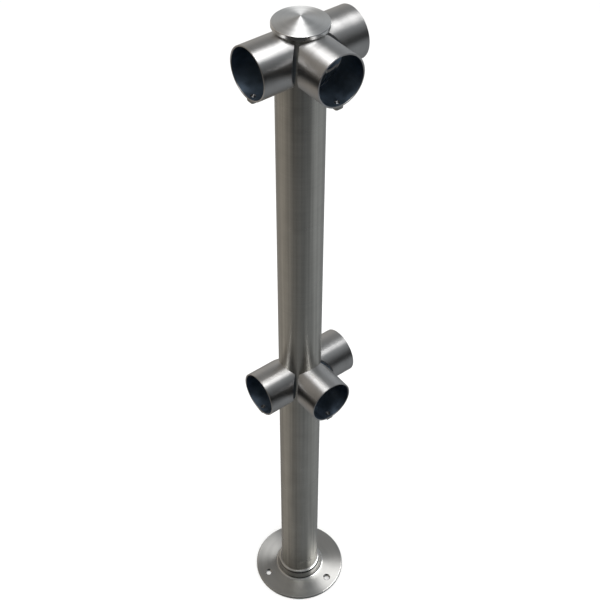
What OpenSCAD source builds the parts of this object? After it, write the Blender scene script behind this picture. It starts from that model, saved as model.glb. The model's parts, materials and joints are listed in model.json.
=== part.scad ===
// Tubular barrier post with a floor flange and two tiers of rail sockets.
// The post axis is Z and the floor is Z = 0. The front sockets face -Y, the
// side sockets face -X and +X, and the back of the post is plain.

/* [Post] */
// Outer diameter of the post tube
post_d = 60.3; // [48.3:0.1:76.1]
// Wall thickness of the post tube
post_wall = 2; // [1.5:0.1:4]
// Height of the top rail axis above the floor
top_rail_h = 1022; // [750:1:1300]
// Height of the middle rail axis above the floor
mid_rail_h = 494; // [150:1:600]

/* [Sockets] */
// Outer diameter of the rails that the sockets take
rail_d = 60.3; // [42.4:0.1:76.1]
// Radial gap between a rail and the socket bore
rail_gap = 0.35; // [0.1:0.05:1]
// Wall thickness of a socket around its bore
socket_wall = 2; // [1.5:0.1:4]
// Distance from the post axis to a socket mouth
socket_reach = 73; // [60:1:120]
// Clear width between the mitred ends of neighbouring sockets
mitre_gap = 6; // [2:0.5:8]
// Height of the shoulder in the bore that stops a rail
stop_step = 1; // [0.6:0.1:2]
// Gap between a rail that is fully home and the post
stop_gap = 0.85; // [0.4:0.05:3]
// Width of the lead-in chamfer at a socket mouth
lead_in = 0.5; // [0.2:0.1:1.2]

/* [Clamp screws] */
// Thread diameter of the clamp screws
screw_d = 6; // [4:1:8]
// Length of a clamp screw
screw_l = 8; // [6:1:12]
// How far a screw point stands inside the bore, backed off for a rail to enter
screw_proud = 0.15; // [0:0.05:0.25]
// Distance from a socket mouth back to its screw axis
screw_back = 7; // [6:0.5:12]
// Width across the flats of a square nut
nut_flats = 10; // [10:0.5:13]
// Height of a square nut
nut_h = 5; // [3:0.5:6.5]

/* [Floor flange] */
// Outer diameter of the flange
flange_d = 148; // [120:1:220]
// Thickness of the flange at its edge
flange_edge = 4; // [3:0.5:8]
// Rise of the flange face from its edge to the foot of the hub
flange_rise = 1.5; // [0:0.1:4]
// Height of the hub above the floor
hub_h = 21; // [16:1:40]
// Wall thickness of the hub at its foot
hub_wall = 6; // [4.5:0.5:8]
// Number of fixing holes
fixing_count = 3; // [3:1:6]
// Diameter of the fixing holes
fixing_d = 9; // [6:0.5:11]
// Width of the chamfer round the top of a fixing hole
fixing_chamfer = 1.5; // [0.5:0.1:2]
// Distance from the edge of the flange in to a fixing hole's centre
fixing_edge = 16; // [9:0.5:16]
// Angle of the first fixing hole, from +X towards +Y
fixing_turn = 47; // [0:1:119]

/* [Top cap] */
// How far the cap stands out past the post all round
cap_overhang = 3.35; // [1:0.05:8]
// Height of the upright rim of the cap
cap_rim = 5; // [3:0.5:8]
// Rise of the cap's cone from its rim to its point
cap_rise = 7; // [2:0.5:16]
// Rounding between the cap's cone and its rim
cap_round = 1.5; // [0.5:0.1:2]
// Height of the gap between the top sockets and the cap
cap_gap = 1.5; // [1:0.5:10]
// Length of the cap's spigot inside the post
spigot_l = 20; // [12:1:40]
// Wall thickness of the spigot
spigot_wall = 5; // [4.5:0.5:8]
// Cord diameter of the rubber ring on the spigot
ring_cord = 2.6; // [2:0.1:3]

/* [Hidden] */
$fn = 96;
cut = 1;                // how far a cutting body runs past what it cuts

// Fits, as radial gaps
flange_fit = 0.1;       // post in flange
spigot_fit = 0.15;      // spigot in post
thread_fit = 0.05;      // screw in nut
wall_hole_fit = 0.25;   // screw in the hole through the socket wall

// Post
post_r = post_d / 2;
post_bore_r = post_r - post_wall;

// Sockets, drawn along +X with the rail axis at Z = 0
socket_bore_r = rail_d / 2 + rail_gap;
socket_r = socket_bore_r + socket_wall;
stop_r = socket_bore_r - stop_step;
stop_x = post_r + stop_gap;
mitre_x = mitre_gap / sqrt(2);
screw_x = socket_reach - screw_back;

// Clamp screws and nuts
screw_r = screw_d / 2;
screw_tip_z = screw_proud - socket_bore_r;
cup_r = screw_d / 4;    // of the hollow in a screw's point
cup_depth = 1.2;
key_flats = screw_d / 2;
key_depth = 3.5;
nut_foot_z = -socket_r - nut_h;
nut_chamfer = 0.5;      // at the mouth of a nut's thread

// Floor flange
flange_r = flange_d / 2;
flange_bore_r = post_r + flange_fit;
edge_round = 1.5;       // at the flange's upper edge
foot_r = flange_bore_r + hub_wall;
foot_z = flange_edge + flange_rise;
foot_fillet = 5;
hub_draft = 0.8;        // the hub is this much slimmer at its top
hub_land = 0.2;         // flat left between its rounded top and the post
hub_round = hub_wall - hub_draft - hub_land;
fixing_r = flange_r - fixing_edge;
face_inner_r = foot_r + foot_fillet;
face_outer_r = flange_r - edge_round;
face_slope = flange_rise / (face_outer_r - face_inner_r);
fixing_z = flange_edge + face_slope * (face_outer_r - fixing_r);

// Top cap
post_top = top_rail_h + socket_r + cap_gap;
cap_r = post_r + cap_overhang;
rim_chamfer = 0.4;      // at the lower edge of the rim
cone_slope = atan(cap_rise / cap_r);
spigot_r = post_bore_r - spigot_fit;
ring_z = post_top - spigot_l / 2;
ring_r = post_bore_r - ring_cord / 2;
groove_gap = 0.1;       // between the ring and the groove's floor
groove_play = 0.4;      // of the ring along the groove
groove_w = ring_cord + groove_play;
groove_r = post_bore_r - ring_cord - groove_gap;

// Tiers by rail height, and sides by the way that their sockets face
TIERS = [["top", top_rail_h], ["mid", mid_rail_h]];
SIDES = [["left", 180], ["front", 270], ["right", 0]];
KINDS = ["socket", "nut", "screw"];

function name_of(tier, side, kind) = str(tier[0], "_", side[0], "_", kind);

// Points on an arc about centre, from angle a to angle b
function arc(centre, r, a, b, steps = 8) = [
    for (i = [0 : steps])
        let (t = a + (b - a) * i / steps)
        [centre.x + r * cos(t), centre.y + r * sin(t)]
];

// A cylinder along +X that starts at x
module rod_x(r, x, length) {
    translate([x, 0, 0])
        rotate([0, 90, 0])
            cylinder(r = r, h = length);
}

// One plain tube from the floor to the cap
module post_tube() {
    color("#8f8c86")
        difference() {
            cylinder(r = post_r, h = post_top);
            translate([0, 0, -cut])
                cylinder(r = post_bore_r, h = post_top + 2 * cut);
        }
}

// Half section of the flange: rounded edge, sloping face, filleted hub
module flange_section() {
    polygon(concat(
        [[flange_bore_r, 0], [flange_r, 0]],
        arc([face_outer_r, flange_edge - edge_round], edge_round, 0, 90),
        arc([face_inner_r, foot_z + foot_fillet], foot_fillet, 270, 180),
        arc([foot_r - hub_draft - hub_round, hub_h - hub_round], hub_round, 0, 90),
        [[flange_bore_r, hub_h]]
    ));
}

// Space that a fixing hole and its chamfer take out of the flange
module fixing_hole() {
    translate([0, 0, -cut])
        cylinder(d = fixing_d, h = foot_z + foot_fillet + 2 * cut);
    translate([0, 0, fixing_z - fixing_chamfer])
        cylinder(
            r1 = fixing_d / 2,
            r2 = fixing_d / 2 + fixing_chamfer + cut,
            h = fixing_chamfer + cut
        );
}

// Turned floor flange, whose hub holds the foot of the post
module base_flange() {
    color("#9a9a98")
        difference() {
            rotate_extrude()
                flange_section();
            for (i = [0 : fixing_count - 1])
                rotate([0, 0, fixing_turn + i * 360 / fixing_count])
                    translate([fixing_r, 0, 0])
                        fixing_hole();
        }
}

// Half section of the cap: low cone, upright rim, hollow spigot with a groove
module cap_section() {
    // The round touches both the cone and the rim
    round_z = post_top + cap_rim + cap_round * (tan(cone_slope) - 1 / cos(cone_slope));
    polygon(concat(
        [
            [0, post_top],
            [spigot_r - spigot_wall, post_top],
            [spigot_r - spigot_wall, post_top - spigot_l],
            [spigot_r, post_top - spigot_l],
            [spigot_r, ring_z - groove_w / 2],
            [groove_r, ring_z - groove_w / 2],
            [groove_r, ring_z + groove_w / 2],
            [spigot_r, ring_z + groove_w / 2],
            [spigot_r, post_top],
            [cap_r - rim_chamfer, post_top],
            [cap_r, post_top + rim_chamfer]
        ],
        arc([cap_r - cap_round, round_z], cap_round, 0, 90 - cone_slope),
        [[0, post_top + cap_rim + cap_rise]]
    ));
}

// Turned cap that closes the post
module top_cap() {
    color("#b9b9b7")
        rotate_extrude()
            cap_section();
}

// Rubber ring in the spigot's groove, which grips the bore of the post
module cap_ring() {
    color("#26262a")
        translate([0, 0, ring_z])
            rotate_extrude()
                translate([ring_r, 0])
                    circle(d = ring_cord);
}

// Wedge of space that one socket may fill between its two mitre planes
module mitre_wedge() {
    side = socket_r + cut;
    end = socket_reach + cut;
    linear_extrude(height = 2 * side, center = true)
        polygon([
            [mitre_x, 0],
            [mitre_x + side, -side],
            [end, -side],
            [end, side],
            [mitre_x + side, side]
        ]);
}

// Rail socket: mitred and saddled to the post, bored for the rail
module socket() {
    color("#a5a29d")
        difference() {
            intersection() {
                rod_x(socket_r, 0, socket_reach);
                mitre_wedge();
            }
            translate([0, 0, -socket_r - cut])
                cylinder(r = post_r, h = 2 * (socket_r + cut));
            rod_x(stop_r, 0, socket_reach + cut);
            rod_x(socket_bore_r, stop_x, socket_reach);
            translate([socket_reach - lead_in, 0, 0])
                rotate([0, 90, 0])
                    cylinder(r1 = socket_bore_r, r2 = socket_bore_r + lead_in, h = lead_in);
            translate([screw_x, 0, -socket_r - cut])
                cylinder(r = screw_r + wall_hole_fit, h = socket_wall + 2 * cut);
        }
}

// Square nut under the socket, its upper face dressed to the socket
module nut() {
    color("#8a8884")
        difference() {
            translate([screw_x, 0, nut_foot_z])
                linear_extrude(height = nut_h + cut)
                    square(nut_flats, center = true);
            rod_x(socket_r, 0, socket_reach);
            translate([screw_x, 0, nut_foot_z - cut])
                cylinder(r = screw_r + thread_fit, h = nut_h + 3 * cut);
            translate([screw_x, 0, nut_foot_z])
                cylinder(r1 = screw_r + nut_chamfer, r2 = screw_r, h = nut_chamfer);
        }
}

// Clamp screw: cup point upward into the bore, hexagon socket below
module screw() {
    tail_z = screw_tip_z - screw_l;
    color("#77777a")
        translate([screw_x, 0, 0])
            difference() {
                union() {
                    translate([0, 0, tail_z])
                        cylinder(r = screw_r, h = screw_l - screw_r + cup_r);
                    translate([0, 0, screw_tip_z - screw_r + cup_r])
                        cylinder(r1 = screw_r, r2 = cup_r, h = screw_r - cup_r);
                }
                translate([0, 0, screw_tip_z - cup_depth])
                    cylinder(r1 = 0, r2 = cup_r, h = cup_depth);
                translate([0, 0, tail_z - cut])
                    cylinder(d = key_flats / cos(30), h = key_depth + cut, $fn = 6);
            }
}

// One piece of a socket, by its kind
module piece(kind) {
    if (kind == "socket") socket();
    if (kind == "nut") nut();
    if (kind == "screw") screw();
}

post_tube();
base_flange();
top_cap();
cap_ring();
for (tier = TIERS, side = SIDES, kind = KINDS)
    translate([0, 0, tier[1]]) rotate([0, 0, side[1]]) piece(kind);
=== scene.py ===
"""Looks of a tubular stainless steel barrier post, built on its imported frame.

Every piece is modelled at the size and place that the frame gives. All its
tube and plate is satin stainless steel whose grain runs round each piece's own
axis, so each mesh carries two attributes: "around", the direction of the
grain, and "turned", a position in metres that follows the surface.
"""

import json
import math

import bmesh
import bpy
from mathutils import Matrix, Vector


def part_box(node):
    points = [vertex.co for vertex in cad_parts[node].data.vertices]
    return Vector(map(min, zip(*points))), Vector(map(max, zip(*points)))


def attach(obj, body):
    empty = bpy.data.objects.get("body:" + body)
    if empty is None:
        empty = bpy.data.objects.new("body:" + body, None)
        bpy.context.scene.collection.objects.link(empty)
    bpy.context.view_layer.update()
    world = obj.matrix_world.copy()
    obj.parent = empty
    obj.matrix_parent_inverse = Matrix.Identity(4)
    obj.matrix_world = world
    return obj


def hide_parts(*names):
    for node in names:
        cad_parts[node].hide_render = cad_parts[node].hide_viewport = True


bl_info = {
    "name": "Barrier Post",
    "version": (1, 0, 0),
    "blender": (4, 5, 0),
    "location": "View3D > Sidebar > Barrier Post",
    "description": "Builds a tubular barrier post with rail sockets on its frame",
    "category": "Object",
}

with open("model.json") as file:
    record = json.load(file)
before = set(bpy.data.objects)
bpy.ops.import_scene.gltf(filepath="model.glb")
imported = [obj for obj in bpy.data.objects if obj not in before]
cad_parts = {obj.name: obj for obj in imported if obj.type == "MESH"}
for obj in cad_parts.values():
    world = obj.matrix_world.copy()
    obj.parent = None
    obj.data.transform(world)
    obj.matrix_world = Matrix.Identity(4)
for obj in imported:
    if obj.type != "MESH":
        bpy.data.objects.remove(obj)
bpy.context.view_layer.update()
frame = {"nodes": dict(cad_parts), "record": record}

MM = 0.001
ORIGIN = Vector((0, 0, 0))
X_AXIS = Vector((1, 0, 0))
Z_AXIS = Vector((0, 0, 1))

MOUNTS = {mount["name"]: mount for mount in frame["record"]["mounts"]}
RAILS = {name[:-len("_rail")]: mount for name, mount in MOUNTS.items() if mount["kind"] == "bore"}
FIXINGS = MOUNTS["floor_bolts"]["dims"]
POST_LOW, POST_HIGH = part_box("post_tube")
FLANGE_LOW, FLANGE_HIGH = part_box("base_flange")
CAP_LOW, CAP_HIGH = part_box("top_cap")
SOCKET_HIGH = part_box("top_right_socket")[1]
NUT_LOW, NUT_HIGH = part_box("top_right_nut")
SCREW_LOW, SCREW_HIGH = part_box("top_right_screw")
RAIL_Z = RAILS["top_right"]["pos_m"][2]

# Small gaps and chamfers that follow from the thread and the ring
HOLE_GAP = 0.25 * MM        # radial, between a screw and the hole in the socket wall
THREAD_GAP = 0.05 * MM      # radial, between a screw and its nut
NUT_CHAMFER = 0.5 * MM      # at the mouth of a nut's thread
NUT_EDGE = 0.25 * MM        # rounding of a nut's edges
GROOVE_GAP = 0.1 * MM       # between the ring and the groove's floor
GROOVE_PLAY = 0.4 * MM      # of the ring along its groove
CAP_POINT = 0.05 * MM       # radius of the small flat at the cap's point
BEYOND = 1 * MM             # how far a cutting piece runs past what it cuts


def linear(hex_colour):
    """An sRGB hex colour as the linear red, green and blue that Blender works in."""
    channels = [int(hex_colour[i:i + 2], 16) / 255 for i in (1, 3, 5)]
    return tuple(c / 12.92 if c <= 0.04045 else ((c + 0.055) / 1.055) ** 2.4 for c in channels)


# ---------------------------------------------------------------- properties


def length(name, description, default):
    """A length property in metres, with its default given in millimetres."""
    return bpy.props.FloatProperty(
        name=name, description=description, default=default * MM, min=0, unit="LENGTH", precision=5
    )


def colour(name, description, default):
    """A colour property with its default given as sRGB hex."""
    return bpy.props.FloatVectorProperty(
        name=name, description=description, default=linear(default),
        size=3, subtype="COLOR", min=0, max=1,
    )


def factor(name, description, default):
    """A property between 0 and 1."""
    return bpy.props.FloatProperty(
        name=name, description=description, default=default, min=0, max=1, subtype="FACTOR"
    )


class PostShape(bpy.types.PropertyGroup):
    """Sizes that the frame's boxes and mounts don't give"""

    facets: bpy.props.IntProperty(
        name="Facets", description="Flat sides round every turned piece", default=192, min=48, max=384
    )
    wall: length("Wall", "Wall thickness of the post and the sockets", 2)
    edge_break: length("Edge break", "Rounding of the dressed edges", 0.35)
    mitre_gap: length("Mitre gap", "Clear width between neighbouring sockets", 6)
    lead_in: length("Lead-in", "Chamfer at a socket's mouth", 0.5)
    stop_step: length("Stop step", "Height of the shoulder that stops a rail", 1)
    stop_at: length("Stop place", "Distance from the post axis to that shoulder", 31)
    plate_edge: length("Plate edge", "Thickness of the flange at its edge", 4)
    plate_rise: length("Plate rise", "Rise of the flange face up to its hub", 1.5)
    plate_round: length("Plate rounding", "Rounding of the flange's upper edge", 1.5)
    hub_wall: length("Hub wall", "Wall of the hub at its foot", 6)
    hub_fillet: length("Hub fillet", "Fillet between the flange face and the hub", 5)
    hub_draft: length("Hub draft", "How much slimmer the hub is at its top", 0.8)
    hub_land: length("Hub land", "Flat left round the post on top of the hub", 0.2)
    post_fit: length("Post fit", "Radial gap between post and flange", 0.1)
    fixing_chamfer: length("Hole chamfer", "Chamfer round the top of a fixing hole", 1.5)
    cap_rim: length("Cap rim", "Height of the cap's upright rim", 5)
    cap_round: length("Cap rounding", "Rounding between the cone and the rim", 1.5)
    cap_chamfer: length("Cap chamfer", "Chamfer at the lower edge of the rim", 0.4)
    spigot_fit: length("Spigot fit", "Radial gap between spigot and post", 0.15)
    spigot_wall: length("Spigot wall", "Wall of the cap's spigot", 5)
    pitch: length("Thread pitch", "Pitch of the clamp screws", 1)
    thread_depth: length("Thread depth", "Depth of the clamp screws' thread", 0.55)
    cup_depth: length("Cup depth", "Depth of the cup in a screw's point", 1.2)
    key_depth: length("Key depth", "Depth of a screw's hexagon socket", 3.5)


class PostFinish(bpy.types.PropertyGroup):
    """Colours and gloss of the finishes"""

    tube: colour("Tube", "Belt-ground stainless tube", "#d6d4cd")
    socket: colour("Socket", "Belt-ground stainless socket", "#d0cfce")
    flange: colour("Flange", "Turned stainless flange", "#c9c8c5")
    # The cap is the same steel as the rest, but its tint is made lighter as a painted highlight that
    # keeps the cone's bright fan.
    cap: colour("Cap", "Turned stainless cap", "#eaeae9")
    # The bore's darker grey-blue tint is painted cool shade inside the sockets; its matt unpolished
    # finish is real.
    bore: colour("Bore", "Pickled bore of a socket, left unpolished", "#8394a7")
    nut: colour("Nut", "Plain stainless nut", "#a8a6a2")
    screw: colour("Screw", "Plain stainless screw", "#a4a4a6")
    rubber: colour("Rubber", "Black ring rubber", "#17171a")
    floor: colour("Floor", "Matt studio floor", "#fcfcfb")
    satin: factor("Satin", "Roughness of the post", 0.31)
    grain: factor("Grain", "How strongly the post's grain stretches reflections", 0.78)
    fine_satin: factor("Fine satin", "Roughness of the cap's rim and of the hub", 0.2)
    fine_grain: factor("Fine grain", "How strongly their grain stretches reflections", 0.6)
    coarse_satin: factor("Coarse satin", "Roughness of the sockets and the flange face", 0.39)
    coarse_grain: factor("Coarse grain", "How strongly their grain stretches reflections", 0.94)
    cone_satin: factor("Cone satin", "Roughness of the cap's cone", 0.46)
    cone_grain: factor("Cone grain", "How strongly the cone's grain stretches reflections", 0.86)


class PostStage(bpy.types.PropertyGroup):
    """Camera and studio"""

    azimuth: bpy.props.FloatProperty(
        name="Azimuth", description="Where the camera stands, from the front towards the left",
        default=math.radians(-37.37), subtype="ANGLE",
    )
    roll: bpy.props.FloatProperty(
        name="Roll", description="Roll of the camera", default=math.radians(0.14), subtype="ANGLE"
    )
    stand_off: length("Stand-off", "Level distance from the post to the camera", 1084.7)
    eye_height: length("Eye height", "Height of the camera above the floor", 1693.4)
    aim_height: length("Aim height", "Height on the post that the camera aims at", 637.7)
    lens: bpy.props.FloatProperty(
        name="Lens", description="Focal length in millimetres on a 36 mm sensor", default=67.23, min=10
    )
    floor_size: length("Floor size", "Width of the studio floor", 60000)


def camera_side(stage):
    """The level direction from the post to the camera."""
    return Vector((math.sin(stage.azimuth), -math.cos(stage.azimuth), 0))


# ------------------------------------------------------------- mesh modelling


def deselect():
    """Nothing is selected, because an operator acts on all that is."""
    bpy.ops.object.select_all(action="DESELECT")


def activate(piece):
    """Only this piece is selected and active."""
    deselect()
    piece.select_set(True)
    bpy.context.view_layer.objects.active = piece


def edit(piece, mode):
    """Opens a piece in edit mode with nothing selected; mode is VERT, EDGE or FACE."""
    activate(piece)
    bpy.ops.object.mode_set(mode="EDIT")
    bpy.ops.mesh.select_mode(type=mode)
    bpy.ops.mesh.select_all(action="DESELECT")


def close():
    """Back to object mode."""
    bpy.ops.object.mode_set(mode="OBJECT")


def pick(piece, layer, test):
    """Selects the faces or edges of the open piece that pass a test."""
    mesh = bmesh.from_edit_mesh(piece.data)
    for element in getattr(mesh, layer):
        if test(element):
            element.select_set(True)
    mesh.select_flush_mode()
    bmesh.update_edit_mesh(piece.data)


def disc_at(axis, station):
    """A test for the flat face that closes a turned piece at a station on its axis."""
    def test(face):
        return all(abs(v.co.dot(axis) - station) < 1e-6 for v in face.verts)
    return test


def ring_at(axis, station, radius):
    """A test for the edges of the ring of that radius at a station on the axis."""
    def on_ring(co):
        along = co.dot(axis)
        return abs(along - station) < 1e-6 and abs((co - axis * along).length - radius) < 1e-6
    return lambda line: all(on_ring(v.co) for v in line.verts)


def arc(centre, radius, start, end, steps=8):
    """Points (radius, station) on an arc of a half section, by angle in degrees."""
    angles = [math.radians(start + (end - start) * i / steps) for i in range(steps + 1)]
    return [(centre[0] + radius * math.cos(a), centre[1] + radius * math.sin(a)) for a in angles]


def cylinder(name, radius, low, high, facets, axis=Z_AXIS):
    """A closed cylinder between two stations on an axis through the origin."""
    deselect()
    turn = Z_AXIS.rotation_difference(axis).to_euler()
    bpy.ops.mesh.primitive_cylinder_add(
        vertices=facets, radius=radius, depth=high - low, location=axis * (low + high) / 2, rotation=turn
    )
    bpy.ops.object.transform_apply(location=True, rotation=True, scale=True)
    piece = bpy.context.object
    piece.name = name
    piece.data.name = name
    return piece


def draw_on(piece, axis, radius, station, steps):
    """Draws the disc at a station out through a list of (radius, station) rings."""
    edit(piece, "FACE")
    pick(piece, "faces", disc_at(axis, station))
    for next_radius, next_station in steps:
        bpy.ops.mesh.extrude_region_move(
            TRANSFORM_OT_translate={"value": axis * (next_station - station)}
        )
        if abs(next_radius - radius) > 1e-9:
            ratio = next_radius / radius
            scale = [ratio + (1 - ratio) * abs(part) for part in axis]
            bpy.ops.transform.resize(value=scale, center_override=axis * next_station)
        radius = next_radius
        station = next_station
    close()


def bore_through(piece, axis, radius, low, high):
    """Joins two end discs of one radius by a bore, in place of the discs."""
    edit(piece, "FACE")
    pick(piece, "faces", lambda face: len(face.verts) > 4)
    bpy.ops.mesh.delete(type="ONLY_FACE")
    bpy.ops.mesh.select_mode(type="EDGE")
    pick(piece, "edges", ring_at(axis, low, radius))
    pick(piece, "edges", ring_at(axis, high, radius))
    bpy.ops.mesh.bridge_edge_loops()
    close()


def merge(piece):
    """Merges doubles, drops slivers and points the faces outwards."""
    edit(piece, "VERT")
    bpy.ops.mesh.select_all(action="SELECT")
    bpy.ops.mesh.remove_doubles(threshold=2e-6)
    bpy.ops.mesh.dissolve_degenerate(threshold=1e-6)
    bpy.ops.mesh.normals_make_consistent(inside=False)
    close()


def tidy_mesh(piece, sharp=30):
    """Merges a piece and smooths all but its sharp edges."""
    merge(piece)
    activate(piece)
    bpy.ops.object.shade_smooth_by_angle(angle=math.radians(sharp))


def cut(piece, tool, operation="DIFFERENCE"):
    """Applies a boolean with a tool, removes the tool and merges what the cut left."""
    activate(piece)
    modifier = piece.modifiers.new("cut", "BOOLEAN")
    modifier.operation = operation
    modifier.solver = "EXACT"
    modifier.object = tool
    bpy.ops.object.modifier_apply(modifier=modifier.name)
    bpy.data.objects.remove(tool)
    merge(piece)


def dress(piece, width, angle=35):
    """Rounds every edge that is sharper than an angle, as tumbling does."""
    activate(piece)
    modifier = piece.modifiers.new("edge", "BEVEL")
    modifier.width = width
    modifier.segments = 2
    modifier.limit_method = "ANGLE"
    modifier.angle_limit = math.radians(angle)
    modifier.use_clamp_overlap = True
    bpy.ops.object.modifier_apply(modifier=modifier.name)


def lay_grain(piece, axis, origin=ORIGIN):
    """Writes the grain's direction round an axis, and a position that follows it."""
    mesh = piece.data
    across = axis.orthogonal().normalized()
    up = axis.cross(across)
    around = mesh.attributes.new("around", "FLOAT_VECTOR", "CORNER")
    turned = mesh.attributes.new("turned", "FLOAT_VECTOR", "CORNER")
    reference = max((v.co - origin).cross(axis).length for v in mesh.vertices)
    for face in mesh.polygons:
        for corner in face.loop_indices:
            offset = mesh.vertices[mesh.loops[corner].vertex_index].co - origin
            along = offset.dot(axis)
            outward = offset - axis * along
            radius = outward.length
            if radius < 1e-5:
                outward = face.center - origin
                outward = outward - axis * outward.dot(axis)
            outward = outward.normalized() if outward.length else across
            around.data[corner].vector = axis.cross(outward)
            turned.data[corner].vector = (
                outward.dot(across) * reference, outward.dot(up) * reference, along - radius
            )


def give(piece, *materials):
    """Puts materials in a piece's slots, in order."""
    slots = piece.data.materials
    while len(slots) < len(materials):
        slots.append(None)
    for index, material in enumerate(materials):
        slots[index] = material


def second_on_steep(piece, degrees):
    """Faces that tilt more than an angle from straight up take the second material."""
    limit = math.cos(math.radians(degrees))
    for face in piece.data.polygons:
        face.material_index = 1 if face.normal.z < limit else 0


def hand_over(piece, name, node, body):
    """Names a finished piece, lets it stand for a node and ride on its body."""
    piece.name = name
    piece.data.name = name
    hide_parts(node)
    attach(piece, body)


def copy_to(piece, name, placing):
    """A copy with a mesh of its own, placed in that mesh."""
    double = bpy.data.objects.new(name, piece.data.copy())
    bpy.context.scene.collection.objects.link(double)
    double.data.transform(placing)
    return double


def rail_placing(mount):
    """Takes a model drawn along +X at rail height zero to one rail socket."""
    x, y, _ = mount["axis"]
    return Matrix.Translation((0, 0, mount["pos_m"][2])) @ Matrix.Rotation(math.atan2(y, x), 4, "Z")


# ------------------------------------------------------------------ materials


def add(tree, kind, inputs, output=0, **settings):
    """Adds a node with its settings and links, and returns one of its outputs."""
    node = tree.nodes.new(kind)
    for key, value in settings.items():
        setattr(node, key, value)
    for socket, value in inputs.items():
        if isinstance(value, bpy.types.NodeSocket):
            tree.links.new(value, node.inputs[socket])
        else:
            node.inputs[socket].default_value = value
    return node.outputs[output]


def new_material(name):
    """An empty node material, with its Principled shader."""
    material = bpy.data.materials.new(name)
    material.use_nodes = True
    tree = material.node_tree
    return material, tree, tree.nodes["Principled BSDF"]


def ground_steel(name, tint, roughness, anisotropy, line, run, depth, drawn=0):
    """Stainless steel ground or turned round an axis.

    line is the spacing of the grinding lines and run their length, in metres.
    The real lines are about 0.1 mm apart, too fine to show, so they are drawn
    coarser. The lines spread reflections across themselves, which is what
    stretches a lamp into a band on a tube and into a fan on a turned face.
    drawn is how much the long marks darken that the rolling of a tube leaves.
    """
    material, tree, shader = new_material(name)
    turned = add(tree, "ShaderNodeAttribute", {}, "Vector", attribute_name="turned")
    around = add(tree, "ShaderNodeAttribute", {}, "Vector", attribute_name="around")
    place = add(tree, "ShaderNodeTexCoord", {}, "Object")

    along_lines = add(tree, "ShaderNodeMapping", {
        "Vector": turned, "Scale": (1 / run, 1 / run, 1 / line),
    })
    lines = add(tree, "ShaderNodeTexNoise", {
        "Vector": along_lines, "Scale": 1, "Detail": 3, "Roughness": 0.6,
    })
    # One pass of the belt or the tool covers many lines.
    along_passes = add(tree, "ShaderNodeMapping", {
        "Vector": turned, "Scale": (1 / (run * 2), 1 / (run * 2), 1 / (line * 14)),
    })
    passes = add(tree, "ShaderNodeTexNoise", {"Vector": along_passes, "Scale": 1, "Detail": 2})
    smudge = add(tree, "ShaderNodeTexNoise", {
        "Vector": place, "Scale": 1 / (35 * MM), "Detail": 2,
    })

    shade = add(tree, "ShaderNodeMath", {0: lines, 1: passes}, operation="ADD")
    share = add(tree, "ShaderNodeMapRange", {"Value": shade, "From Min": 0.7, "From Max": 1.3})
    dark = [c * 0.93 for c in tint]
    light = [min(1, c * 1.05) for c in tint]
    worn = add(tree, "ShaderNodeMix", {
        0: share, 6: (*dark, 1), 7: (*light, 1),
    }, 2, data_type="RGBA")
    if drawn:
        # A few millimetres apart round the tube and half a metre long
        drawn_out = add(tree, "ShaderNodeMapping", {
            "Vector": place, "Scale": (1 / (5 * MM), 1 / (5 * MM), 1 / (500 * MM)),
        })
        marks = add(tree, "ShaderNodeTexNoise", {"Vector": drawn_out, "Scale": 1, "Detail": 3})
        faded = add(tree, "ShaderNodeMapRange", {
            "Value": marks, "From Min": 0.36, "From Max": 0.62, "To Min": 1 - drawn, "To Max": 1,
        })
        worn = add(tree, "ShaderNodeVectorMath", {0: worn, 1: faded}, operation="MULTIPLY")
    tree.links.new(worn, shader.inputs["Base Color"])

    gloss = add(tree, "ShaderNodeMath", {0: passes, 1: smudge}, operation="ADD")
    sheen = add(tree, "ShaderNodeMapRange", {
        "Value": gloss, "From Min": 0.7, "From Max": 1.3,
        "To Min": roughness * 0.86, "To Max": roughness * 1.16,
    })
    tree.links.new(sheen, shader.inputs["Roughness"])
    bump = add(tree, "ShaderNodeBump", {"Strength": depth, "Distance": 0.02 * MM, "Height": lines})
    tree.links.new(bump, shader.inputs["Normal"])
    tree.links.new(around, shader.inputs["Tangent"])
    shader.inputs["Metallic"].default_value = 1
    shader.inputs["Anisotropic"].default_value = anisotropy
    # A quarter turn, because the tangent lies along the lines and not across them
    shader.inputs["Anisotropic Rotation"].default_value = 0.25
    return material


def pickled_bore(name, tint):
    """Stainless steel as the mill pickled it: matt and a little blotched, with a darker grey-blue tint
    that is painted cool shade inside the socket.
    """
    material, tree, shader = new_material(name)
    place = add(tree, "ShaderNodeTexCoord", {}, "Object")
    blotch = add(tree, "ShaderNodeTexNoise", {
        "Vector": place, "Scale": 1 / (12 * MM), "Detail": 5,
    })
    pits = add(tree, "ShaderNodeTexNoise", {"Vector": place, "Scale": 1 / (0.9 * MM), "Detail": 2})
    share = add(tree, "ShaderNodeMapRange", {"Value": blotch, "From Min": 0.3, "From Max": 0.7})
    dark = [c * 0.6 for c in tint]
    shade = add(tree, "ShaderNodeMix", {
        0: share, 6: (*dark, 1), 7: (*tint, 1),
    }, 2, data_type="RGBA")
    tree.links.new(shade, shader.inputs["Base Color"])
    sheen = add(tree, "ShaderNodeMapRange", {
        "Value": blotch, "From Min": 0.3, "From Max": 0.7, "To Min": 0.42, "To Max": 0.6,
    })
    tree.links.new(sheen, shader.inputs["Roughness"])
    bump = add(tree, "ShaderNodeBump", {"Strength": 0.35, "Distance": 0.06 * MM, "Height": pits})
    tree.links.new(bump, shader.inputs["Normal"])
    shader.inputs["Metallic"].default_value = 1
    return material


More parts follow.
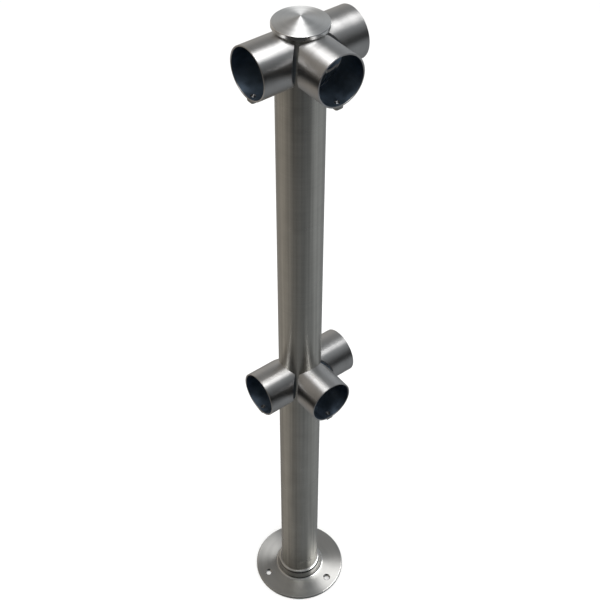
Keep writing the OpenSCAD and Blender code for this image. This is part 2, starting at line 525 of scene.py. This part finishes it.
def plain_steel(name, tint, roughness):
    """Stainless steel of a fastener: cold formed and tumbled, with small dents."""
    material, tree, shader = new_material(name)
    place = add(tree, "ShaderNodeTexCoord", {}, "Object")
    dents = add(tree, "ShaderNodeTexNoise", {
        "Vector": place, "Scale": 1 / (1.6 * MM), "Detail": 3,
    })
    share = add(tree, "ShaderNodeMapRange", {"Value": dents, "From Min": 0.35, "From Max": 0.65})
    dark = [c * 0.75 for c in tint]
    shade = add(tree, "ShaderNodeMix", {
        0: share, 6: (*dark, 1), 7: (*tint, 1),
    }, 2, data_type="RGBA")
    tree.links.new(shade, shader.inputs["Base Color"])
    sheen = add(tree, "ShaderNodeMapRange", {
        "Value": dents, "From Min": 0.3, "From Max": 0.7,
        "To Min": roughness * 0.8, "To Max": roughness * 1.25,
    })
    tree.links.new(sheen, shader.inputs["Roughness"])
    bump = add(tree, "ShaderNodeBump", {"Strength": 0.3, "Distance": 0.04 * MM, "Height": dents})
    tree.links.new(bump, shader.inputs["Normal"])
    shader.inputs["Metallic"].default_value = 1
    return material


def ring_rubber(name, tint):
    """Black nitrile rubber: matt, with the bloom that comes out of it."""
    material, tree, shader = new_material(name)
    place = add(tree, "ShaderNodeTexCoord", {}, "Object")
    bloom = add(tree, "ShaderNodeTexNoise", {
        "Vector": place, "Scale": 1 / (4 * MM), "Detail": 4,
    })
    share = add(tree, "ShaderNodeMapRange", {"Value": bloom, "From Min": 0.4, "From Max": 0.8})
    grey = [min(1, c * 2.6) for c in tint]
    shade = add(tree, "ShaderNodeMix", {
        0: share, 6: (*tint, 1), 7: (*grey, 1),
    }, 2, data_type="RGBA")
    tree.links.new(shade, shader.inputs["Base Color"])
    sheen = add(tree, "ShaderNodeMapRange", {
        "Value": bloom, "From Min": 0.3, "From Max": 0.7, "To Min": 0.6, "To Max": 0.8,
    })
    tree.links.new(sheen, shader.inputs["Roughness"])
    bump = add(tree, "ShaderNodeBump", {"Strength": 0.2, "Distance": 0.03 * MM, "Height": bloom})
    tree.links.new(bump, shader.inputs["Normal"])
    return material


# ------------------------------------------------------------------ operators


class BARRIERPOST_OT_stage(bpy.types.Operator):
    """Sets up the floor, the studio light and the camera"""

    bl_idname = "barrier_post.stage"
    bl_label = "Stage"

    def execute(self, context):
        stage = context.scene.barrier_stage
        finish = context.scene.barrier_finish
        self.floor(stage, finish)
        self.studio(context.scene, stage)
        self.lamps(stage)
        self.camera(context.scene, stage)
        return {"FINISHED"}

    def floor(self, stage, finish):
        """A pale floor that the flange stands on."""
        deselect()
        bpy.ops.mesh.primitive_plane_add(size=stage.floor_size, location=(0, 0, FLANGE_LOW.z))
        bpy.ops.object.transform_apply(location=True)
        floor = bpy.context.object
        floor.name = "studio_floor"
        material, tree, shader = new_material("matt_studio_paint")
        place = add(tree, "ShaderNodeTexCoord", {}, "Object")
        cloud = add(tree, "ShaderNodeTexNoise", {"Vector": place, "Scale": 2.0, "Detail": 3})
        paler = [min(1, c * 1.02) for c in finish.floor]
        shade = add(tree, "ShaderNodeMix", {
            0: cloud, 6: (*finish.floor, 1), 7: (*paler, 1),
        }, 2, data_type="RGBA")
        tree.links.new(shade, shader.inputs["Base Color"])
        shader.inputs["Roughness"].default_value = 0.9
        shader.inputs["Specular IOR Level"].default_value = 0.1
        give(floor, material)
        # The steel reflects the dark room below the horizon, not the white sweep.
        floor.visible_glossy = False

    def studio(self, scene, stage):
        """A room for reflections: dark at eye level and towards the camera's side.

        Camera and diffuse rays see plain white instead, which keeps the floor pale.
        """
        world = bpy.data.worlds.new("studio")
        scene.world = world
        world.use_nodes = True
        tree = world.node_tree
        direction = add(tree, "ShaderNodeTexCoord", {}, "Generated")
        near = camera_side(stage)
        right = Vector((-near.y, near.x, 0))
        # The dark strip sits lower on the left than on the right.
        tilted = Z_AXIS - right * 0.12
        towards, rightwards, upwards = (
            add(tree, "ShaderNodeVectorMath", {0: direction, 1: axis}, "Value", operation="DOT_PRODUCT")
            for axis in (near, right, tilted)
        )
        level = add(tree, "ShaderNodeMapRange", {"Value": upwards, "From Min": -1, "From Max": 1})
        # Grey values by height, from straight down at 0 to straight up at 1:
        # to the left and right, beyond the post, and on the camera's side
        walls = []
        for stops in (
            [(0.0, 0.22), (0.12, 0.32), (0.25, 0.4), (0.33, 0.26), (0.4, 0.04),
             (0.53, 0.03), (0.6, 0.18), (0.75, 0.36), (1.0, 0.42)],
            [(0.0, 0.22), (0.35, 0.34), (0.5, 0.5), (0.7, 0.48), (0.85, 0.2), (1.0, 0.15)],
            [(0.0, 0.25), (0.13, 0.21), (0.2, 0.07), (0.27, 0.02), (0.6, 0.015),
             (0.8, 0.03), (0.93, 0.2), (1.0, 0.4)],
        ):
            wall = add(tree, "ShaderNodeValToRGB", {"Fac": level})
            elements = wall.node.color_ramp.elements
            for place, _ in stops[1:-1]:
                elements.new(place)
            for element, (place, grey) in zip(elements, stops):
                element.position = place
                element.color = (grey, grey, grey, 1)
            walls.append(wall)
        sides, behind, front = walls
        nearness = add(tree, "ShaderNodeMapRange", {
            "Value": towards, "From Min": 0.35, "From Max": 0.75,
        })
        farness = add(tree, "ShaderNodeMapRange", {
            "Value": towards, "From Min": -0.15, "From Max": -0.6,
        })
        warmth = add(tree, "ShaderNodeMapRange", {
            "Value": rightwards, "From Min": -0.8, "From Max": 0.2, "To Min": 1, "To Max": 0,
        })
        tint = add(tree, "ShaderNodeMix", {
            0: warmth, 6: (*linear("#f6fbff"), 1), 7: (*linear("#fff6ea"), 1),
        }, 2, data_type="RGBA")
        room = sides
        for share, colour_of, how in (
            (nearness, front, "MIX"), (farness, behind, "MIX"), (1.0, tint, "MULTIPLY"),
        ):
            room = add(tree, "ShaderNodeMix", {
                0: share, 6: room, 7: colour_of,
            }, 2, data_type="RGBA", blend_type=how)
        rays = add(tree, "ShaderNodeLightPath", {}).node.outputs
        plain = add(tree, "ShaderNodeMath", {
            0: rays["Is Camera Ray"], 1: rays["Is Diffuse Ray"],
        }, operation="MAXIMUM")
        seen = add(tree, "ShaderNodeMix", {
            0: plain, 6: room, 7: (1, 1, 1, 1),
        }, 2, data_type="RGBA")
        tree.links.new(seen, tree.nodes["Background"].inputs["Color"])

    def lamps(self, stage):
        """Soft boxes, by place, what they aim at, width, depth and radiance.

        The flange has a box of its own, which stands to the right, and the
        overhead box passes it by. The operator that builds the flange says so.
        """
        near = camera_side(stage)
        right = Vector((-near.y, near.x, 0))
        boxes = [
            ("overhead_box", near * 0.3 + Z_AXIS * 2.5, ORIGIN, 1.1, 1.1, 4.8),
            ("flange_box", right * 1.55 - near * 0.32 + Z_AXIS * 2.1, ORIGIN, 2.3, 1.0, 6.1),
        ]
        for name, place, aim, width, depth, radiance in boxes:
            deselect()
            bpy.ops.object.light_add(type="AREA", location=place)
            lamp = bpy.context.object
            lamp.name = name
            lamp.rotation_euler = (aim - place).to_track_quat("-Z", "Y").to_euler()
            lamp.data.shape = "RECTANGLE"
            lamp.data.size = width
            lamp.data.size_y = depth
            lamp.data.energy = radiance * math.pi * width * depth
            lamp.light_linking.receiver_collection = bpy.data.collections.new(f"lit_by_{name}")

    def camera(self, scene, stage):
        """The camera, a little above head height and looking down at the post."""
        place = camera_side(stage) * stage.stand_off + Z_AXIS * stage.eye_height
        view = Z_AXIS * stage.aim_height - place
        deselect()
        bpy.ops.object.camera_add(location=place)
        camera = bpy.context.object
        camera.name = "camera"
        turn = view.to_track_quat("-Z", "Y").to_matrix() @ Matrix.Rotation(stage.roll, 3, "Z")
        camera.rotation_euler = turn.to_euler()
        camera.data.sensor_width = 36
        camera.data.lens = stage.lens
        camera.data.clip_start = 0.01
        scene.camera = camera
        scene.view_settings.view_transform = "Standard"


class BARRIERPOST_OT_post(bpy.types.Operator):
    """Builds the post: one length of tube, cut square, its ends deburred"""

    bl_idname = "barrier_post.post"
    bl_label = "Post"

    def execute(self, context):
        shape = context.scene.barrier_shape
        finish = context.scene.barrier_finish
        radius = POST_HIGH.x
        bore = radius - shape.wall
        edge = shape.edge_break / 2
        low = POST_LOW.z
        high = POST_HIGH.z
        piece = cylinder("post", radius, low + edge, high - edge, shape.facets)
        draw_on(piece, Z_AXIS, radius, high - edge, [
            (radius - edge, high), (bore + edge, high), (bore, high - edge),
        ])
        draw_on(piece, Z_AXIS, radius, low + edge, [
            (radius - edge, low), (bore + edge, low), (bore, low + edge),
        ])
        bore_through(piece, Z_AXIS, bore, low + edge, high - edge)
        tidy_mesh(piece)
        lay_grain(piece, Z_AXIS)
        give(piece, ground_steel(
            "belt_ground_stainless_tube", finish.tube, finish.satin, finish.grain,
            line=0.8 * MM, run=60 * MM, depth=0.12, drawn=0.24,
        ))
        hand_over(piece, "post", "post_tube", "post")
        return {"FINISHED"}


class BARRIERPOST_OT_flange(bpy.types.Operator):
    """Builds the turned floor flange with its hub and its fixing holes"""

    bl_idname = "barrier_post.flange"
    bl_label = "Floor Flange"

    def execute(self, context):
        shape = context.scene.barrier_shape
        finish = context.scene.barrier_finish
        radius = FLANGE_HIGH.x
        bore = POST_HIGH.x + shape.post_fit
        foot = bore + shape.hub_wall
        foot_z = shape.plate_edge + shape.plate_rise
        crown = shape.hub_wall - shape.hub_draft - shape.hub_land
        face_inner = foot + shape.hub_fillet
        face_outer = radius - shape.plate_round
        section = [
            *arc((face_outer, shape.plate_edge - shape.plate_round), shape.plate_round, 0, 90),
            *arc((face_inner, foot_z + shape.hub_fillet), shape.hub_fillet, 270, 180, 12),
            *arc((foot - shape.hub_draft - crown, FLANGE_HIGH.z - crown), crown, 0, 90, 12),
            (bore, FLANGE_HIGH.z),
        ]
        start = section[0][1]
        piece = cylinder("floor_flange", radius, 0, start, shape.facets)
        draw_on(piece, Z_AXIS, radius, start, section[1:])
        draw_on(piece, Z_AXIS, radius, 0, [(bore, 0)])
        bore_through(piece, Z_AXIS, bore, 0, FLANGE_HIGH.z)
        self.drill(piece, shape, face_outer, face_inner)
        tidy_mesh(piece)
        lay_grain(piece, Z_AXIS)
        plate = ground_steel(
            "turned_stainless_flange", finish.flange, finish.coarse_satin, finish.coarse_grain,
            line=0.5 * MM, run=80 * MM, depth=0.15,
        )
        hub = ground_steel(
            "turned_stainless_hub", finish.flange, finish.fine_satin, finish.fine_grain,
            line=0.5 * MM, run=80 * MM, depth=0.15,
        )
        give(piece, plate, hub)
        second_on_steep(piece, 14)
        hand_over(piece, "floor_flange", "base_flange", "post")
        for lamp, state in (("flange_box", "INCLUDE"), ("overhead_box", "EXCLUDE")):
            lit = bpy.data.objects[lamp].light_linking.receiver_collection
            lit.objects.link(piece)
            lit.collection_objects[0].light_linking.link_state = state
        return {"FINISHED"}

    def drill(self, piece, shape, face_outer, face_inner):
        """Fixing holes, at the places that the frame's openings give."""
        radius = FIXINGS["hole_r_mm"] * MM
        place_r = FIXINGS["pcd_mm"] / 2 * MM
        rise = shape.plate_rise * (face_outer - place_r) / (face_outer - face_inner)
        face = shape.plate_edge + rise
        low = face - shape.fixing_chamfer
        over = 2 * MM
        for opening in frame["record"]["physics"]["openings"]:
            box_low, box_high = (Vector(corner) for corner in opening["box_m"])
            centre = (box_low + box_high) / 2
            drill = cylinder("drill", radius, -over, low, 64)
            draw_on(drill, Z_AXIS, radius, low, [(radius + shape.fixing_chamfer + over, face + over)])
            drill.data.transform(Matrix.Translation((centre.x, centre.y, 0)))
            cut(piece, drill)


class BARRIERPOST_OT_cap(bpy.types.Operator):
    """Builds the turned cap and its spigot, and finishes the ring on it"""

    bl_idname = "barrier_post.cap"
    bl_label = "Cap"

    def execute(self, context):
        shape = context.scene.barrier_shape
        finish = context.scene.barrier_finish
        radius = CAP_HIGH.x
        seat = POST_HIGH.z
        rise = CAP_HIGH.z - seat - shape.cap_rim
        slope = math.atan(rise / radius)
        corner = shape.cap_round
        corner_z = seat + shape.cap_rim + corner * (math.tan(slope) - 1 / math.cos(slope))
        crown = arc((radius - corner, corner_z), corner, 0, 90 - math.degrees(slope), 8)
        edge_r, edge_z = crown[-1]
        rings = 12
        cone = [
            (edge_r * (1 - i / rings), edge_z + (CAP_HIGH.z - edge_z) * i / rings)
            for i in range(1, rings)
        ]
        piece = cylinder("cap", radius, seat + shape.cap_chamfer, crown[0][1], shape.facets)
        draw_on(piece, Z_AXIS, radius, crown[0][1], [*crown[1:], *cone, (CAP_POINT, CAP_HIGH.z)])
        self.spigot(piece, shape, radius, seat)
        tidy_mesh(piece)
        lay_grain(piece, Z_AXIS)
        # Both cap materials take the lighter cap tint, which paints a highlight on the turned steel.
        face = ground_steel(
            "turned_stainless_cap", finish.cap, finish.cone_satin, finish.cone_grain,
            line=0.4 * MM, run=60 * MM, depth=0.12,
        )
        rim = ground_steel(
            "turned_stainless_rim", finish.cap, finish.fine_satin, finish.fine_grain,
            line=0.4 * MM, run=60 * MM, depth=0.12,
        )
        give(piece, face, rim)
        second_on_steep(piece, 40)
        hand_over(piece, "cap", "top_cap", "post")
        give(frame["nodes"]["cap_ring"], ring_rubber("black_ring_rubber", finish.rubber))
        return {"FINISHED"}

    def spigot(self, piece, shape, radius, seat):
        """The hollow spigot below the rim, with the groove for the ring."""
        outer = POST_HIGH.x - shape.wall - shape.spigot_fit
        inner = outer - shape.spigot_wall
        ring_low, ring_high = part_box("cap_ring")
        cord = ring_high.z - ring_low.z
        groove = POST_HIGH.x - shape.wall - cord - GROOVE_GAP
        half = (cord + GROOVE_PLAY) / 2
        middle = (ring_low.z + ring_high.z) / 2
        draw_on(piece, Z_AXIS, radius, seat + shape.cap_chamfer, [
            (radius - shape.cap_chamfer, seat),
            (outer, seat),
            (outer, middle + half),
            (groove, middle + half),
            (groove, middle - half),
            (outer, middle - half),
            (outer, CAP_LOW.z),
            (inner, CAP_LOW.z),
            (inner, seat),
        ])


class BARRIERPOST_OT_sockets(bpy.types.Operator):
    """Builds the rail sockets: bored, mitred and saddled to the post"""

    bl_idname = "barrier_post.sockets"
    bl_label = "Rail Sockets"

    def execute(self, context):
        shape = context.scene.barrier_shape
        finish = context.scene.barrier_finish
        steel = ground_steel(
            "belt_ground_stainless_socket", finish.socket, finish.coarse_satin, finish.coarse_grain,
            line=0.6 * MM, run=50 * MM, depth=0.12,
        )
        # The bore's material paints the shade inside each socket with a darker grey-blue tint.
        bore_steel = pickled_bore("pickled_stainless_bore", finish.bore)
        model = self.model(shape)
        for name, mount in RAILS.items():
            piece = copy_to(model, name, rail_placing(mount))
            axis = Vector(mount["axis"])
            centre = Vector((0, 0, mount["pos_m"][2]))
            lay_grain(piece, axis, centre)
            give(piece, steel, bore_steel)
            node = f"{name}_socket"
            hand_over(piece, f"{name}_rail_socket", node, "post")
        bpy.data.objects.remove(model)
        return {"FINISHED"}

    def model(self, shape):
        """One socket along +X with its rail axis at the origin."""
        outer = SOCKET_HIGH.z - RAIL_Z
        mouth = SOCKET_HIGH.x
        bore = RAILS["top_right"]["dims"]["r_mm"] * MM
        stop = bore - shape.stop_step
        edge = shape.edge_break
        rim = arc((outer - edge, mouth - edge), edge, 0, 90, 4)
        piece = cylinder("socket", outer, 0, mouth - edge, shape.facets, X_AXIS)
        draw_on(piece, X_AXIS, outer, mouth - edge, [
            *rim[1:],
            (bore + shape.lead_in, mouth),
            (bore, mouth - shape.lead_in),
            (bore, shape.stop_at),
            (stop, shape.stop_at),
            (stop, edge),
        ])
        draw_on(piece, X_AXIS, outer, 0, [(stop, 0)])
        bore_through(piece, X_AXIS, stop, 0, edge)
        tidy_mesh(piece)
        self.mitre(piece, shape)
        saddle = cylinder("saddle", POST_HIGH.x, -2 * outer, 2 * outer, shape.facets)
        cut(piece, saddle)
        hole_x = (SCREW_LOW.x + SCREW_HIGH.x) / 2
        hole_r = (SCREW_HIGH.x - SCREW_LOW.x) / 2 + HOLE_GAP
        hole = cylinder("hole", hole_r, -2 * outer, -0.5 * outer, 64)
        hole.data.transform(Matrix.Translation((hole_x, 0, 0)))
        cut(piece, hole)
        self.mark_bore(piece, bore)
        tidy_mesh(piece)
        return piece

    def mitre(self, piece, shape):
        """Two planes at 45 degrees, where the neighbouring sockets would meet."""
        corner = shape.mitre_gap / math.sqrt(2)
        for side in (-1, 1):
            edit(piece, "FACE")
            bpy.ops.mesh.select_all(action="SELECT")
            bpy.ops.mesh.bisect(
                plane_co=(corner, 0, 0), plane_no=(1, side, 0),
                use_fill=True, clear_inner=True, threshold=1e-7,
            )
            close()

    def mark_bore(self, piece, bore):
        """The unpolished bore takes the second material, whose darker grey-blue tint is painted shade.
        """
        piece.data.materials.clear()
        piece.data.materials.append(None)
        piece.data.materials.append(None)
        for face in piece.data.polygons:
            off_axis = Vector((0, face.center.y, face.center.z))
            facing_in = face.normal.dot(off_axis) < 0
            face.material_index = 1 if facing_in and off_axis.length < bore + 0.1 * MM else 0


class BARRIERPOST_OT_nuts(bpy.types.Operator):
    """Builds the square nuts that sit under the sockets"""

    bl_idname = "barrier_post.nuts"
    bl_label = "Nuts"

    def execute(self, context):
        shape = context.scene.barrier_shape
        finish = context.scene.barrier_finish
        steel = plain_steel("tumbled_stainless_nut", finish.nut, 0.34)
        model = self.model(shape)
        for name, mount in RAILS.items():
            piece = copy_to(model, name, rail_placing(mount))
            give(piece, steel)
            hand_over(piece, f"{name}_clamp_nut", f"{name}_nut", "post")
        bpy.data.objects.remove(model)
        return {"FINISHED"}

    def model(self, shape):
        """One nut on the +X side, with its rail axis at height zero."""
        centre_x = (NUT_LOW.x + NUT_HIGH.x) / 2
        flats = NUT_HIGH.x - NUT_LOW.x
        foot = NUT_LOW.z - RAIL_Z
        outer = SOCKET_HIGH.z - RAIL_Z
        # Drawn up into the socket, and cut back to its wall further down
        top = NUT_HIGH.z - RAIL_Z + BEYOND
        deselect()
        bpy.ops.mesh.primitive_cube_add(size=1, location=(centre_x, 0, (foot + top) / 2))
        piece = bpy.context.object
        piece.scale = (flats, flats, top - foot)
        bpy.ops.object.transform_apply(location=True, rotation=True, scale=True)
        dress(piece, NUT_EDGE)
        # The corners of a pressed nut are turned off at 30 degrees on its free face.
        corner = flats / math.sqrt(2)
        face_r = flats / 2 * 1.12
        slope = math.tan(math.radians(30))
        wide = corner * 1.05
        shoulder = foot + (wide - face_r) * slope
        turning = cylinder("turning", wide, shoulder, top + BEYOND, 96)
        draw_on(turning, Z_AXIS, wide, shoulder, [(face_r, foot), (face_r * 0.98, foot - 0.1 * MM)])
        turning.data.transform(Matrix.Translation((centre_x, 0, 0)))
        cut(piece, turning, "INTERSECT")
        cut(piece, cylinder("seat", outer, centre_x - flats, centre_x + flats, shape.facets, X_AXIS))
        thread_r = (SCREW_HIGH.x - SCREW_LOW.x) / 2 + THREAD_GAP
        mouth_r = thread_r + NUT_CHAMFER
        bore = cylinder("bore", mouth_r, foot - BEYOND, foot, 64)
        draw_on(bore, Z_AXIS, mouth_r, foot, [(thread_r, foot + NUT_CHAMFER), (thread_r, top + BEYOND)])
        bore.data.transform(Matrix.Translation((centre_x, 0, 0)))
        cut(piece, bore)
        tidy_mesh(piece)
        return piece


class BARRIERPOST_OT_screws(bpy.types.Operator):
    """Builds the clamp screws: threaded, cup pointed, with a hexagon socket"""

    bl_idname = "barrier_post.screws"
    bl_label = "Clamp Screws"

    def execute(self, context):
        shape = context.scene.barrier_shape
        finish = context.scene.barrier_finish
        steel = plain_steel("tumbled_stainless_screw", finish.screw, 0.3)
        model = self.model(shape)
        for name, mount in RAILS.items():
            piece = copy_to(model, name, rail_placing(mount))
            give(piece, steel)
            node = f"{name}_screw"
            hand_over(piece, f"{name}_clamp_screw", node, node)
        bpy.data.objects.remove(model)
        return {"FINISHED"}

    def thread(self, shape, radius, low, high):
        """A thread swept by the Screw modifier, trimmed flat at both ends."""
        pitch = shape.pitch
        root = radius - shape.thread_depth
        crest = pitch / 8
        flank = pitch / 2 - crest
        deselect()
        bpy.ops.mesh.primitive_plane_add(size=pitch, location=(root, 0, low - 2 * pitch))
        bpy.ops.object.transform_apply(location=True)
        piece = bpy.context.object
        edit(piece, "VERT")
        bpy.ops.mesh.select_all(action="SELECT")
        bpy.ops.mesh.merge(type="CENTER")
        for step in ((radius - root, 0, flank), (0, 0, 2 * crest), (root - radius, 0, flank)):
            bpy.ops.mesh.extrude_vertices_move(TRANSFORM_OT_translate={"value": step})
        close()
        sweep = piece.modifiers.new("thread", "SCREW")
        sweep.axis = "Z"
        sweep.angle = 2 * math.pi
        sweep.screw_offset = pitch
        sweep.iterations = math.ceil((high - low) / pitch) + 4
        sweep.steps = 32
        sweep.render_steps = 32
        sweep.use_merge_vertices = True
        bpy.ops.object.modifier_apply(modifier=sweep.name)
        for station, drop in ((low, -1), (high, 1)):
            edit(piece, "FACE")
            bpy.ops.mesh.select_all(action="SELECT")
            bpy.ops.mesh.remove_doubles(threshold=1e-6)
            bpy.ops.mesh.bisect(
                plane_co=(0, 0, station), plane_no=(0, 0, drop),
                use_fill=True, clear_outer=True, threshold=1e-7,
            )
            close()
        tidy_mesh(piece, 40)
        return piece

    def model(self, shape):
        """One screw on the +X side, with its rail axis at height zero."""
        centre_x = (SCREW_LOW.x + SCREW_HIGH.x) / 2
        radius = (SCREW_HIGH.x - SCREW_LOW.x) / 2
        low = SCREW_LOW.z - RAIL_Z
        high = SCREW_HIGH.z - RAIL_Z
        piece = self.thread(shape, radius, low, high)
        cup_r = radius / 2
        taper = radius - cup_r
        envelope = cylinder("envelope", radius, low + shape.thread_depth, high - taper, 96)
        draw_on(envelope, Z_AXIS, radius, high - taper, [(cup_r, high)])
        root = radius - shape.thread_depth
        draw_on(envelope, Z_AXIS, radius, low + shape.thread_depth, [(root, low)])
        cut(piece, envelope, "INTERSECT")
        # The cup is drawn downwards from a disc that stands clear of the point.
        lip_r = cup_r * 0.95
        cup = cylinder("cup", lip_r, high, high + BEYOND, 64)
        draw_on(cup, Z_AXIS, lip_r, high, [(0.02 * MM, high - shape.cup_depth)])
        cut(piece, cup)
        key_r = radius / 2 / math.cos(math.radians(30))
        cut(piece, cylinder("key", key_r, low - BEYOND, low + shape.key_depth, 6))
        piece.data.transform(Matrix.Translation((centre_x, 0, 0)))
        tidy_mesh(piece, 35)
        return piece


class BARRIERPOST_PT_panel(bpy.types.Panel):
    """Lists the sizes, the finishes and the building steps"""

    bl_label = "Barrier Post"
    bl_idname = "BARRIERPOST_PT_panel"
    bl_space_type = "VIEW_3D"
    bl_region_type = "UI"
    bl_category = "Barrier Post"

    def draw(self, context):
        scene = context.scene
        for title, group in (
            ("Shape", scene.barrier_shape),
            ("Finish", scene.barrier_finish),
            ("Stage", scene.barrier_stage),
        ):
            box = self.layout.box()
            box.label(text=title)
            for name in group.bl_rna.properties.keys():
                if name not in ("rna_type", "name"):
                    box.prop(group, name)
        for operator in STEPS:
            self.layout.operator(operator.bl_idname)


GROUPS = (PostShape, PostFinish, PostStage)
STEPS = (
    BARRIERPOST_OT_stage,
    BARRIERPOST_OT_post,
    BARRIERPOST_OT_flange,
    BARRIERPOST_OT_cap,
    BARRIERPOST_OT_sockets,
    BARRIERPOST_OT_nuts,
    BARRIERPOST_OT_screws,
)


def register():
    for item in (*GROUPS, *STEPS, BARRIERPOST_PT_panel):
        bpy.utils.register_class(item)
    bpy.types.Scene.barrier_shape = bpy.props.PointerProperty(type=PostShape)
    bpy.types.Scene.barrier_finish = bpy.props.PointerProperty(type=PostFinish)
    bpy.types.Scene.barrier_stage = bpy.props.PointerProperty(type=PostStage)


def unregister():
    del bpy.types.Scene.barrier_stage
    del bpy.types.Scene.barrier_finish
    del bpy.types.Scene.barrier_shape
    for item in reversed((*GROUPS, *STEPS, BARRIERPOST_PT_panel)):
        bpy.utils.unregister_class(item)


def main():
    register()
    bpy.ops.barrier_post.stage()
    bpy.ops.barrier_post.post()
    bpy.ops.barrier_post.flange()
    bpy.ops.barrier_post.cap()
    bpy.ops.barrier_post.sockets()
    bpy.ops.barrier_post.nuts()
    bpy.ops.barrier_post.screws()


if __name__ == "__main__":
    main()
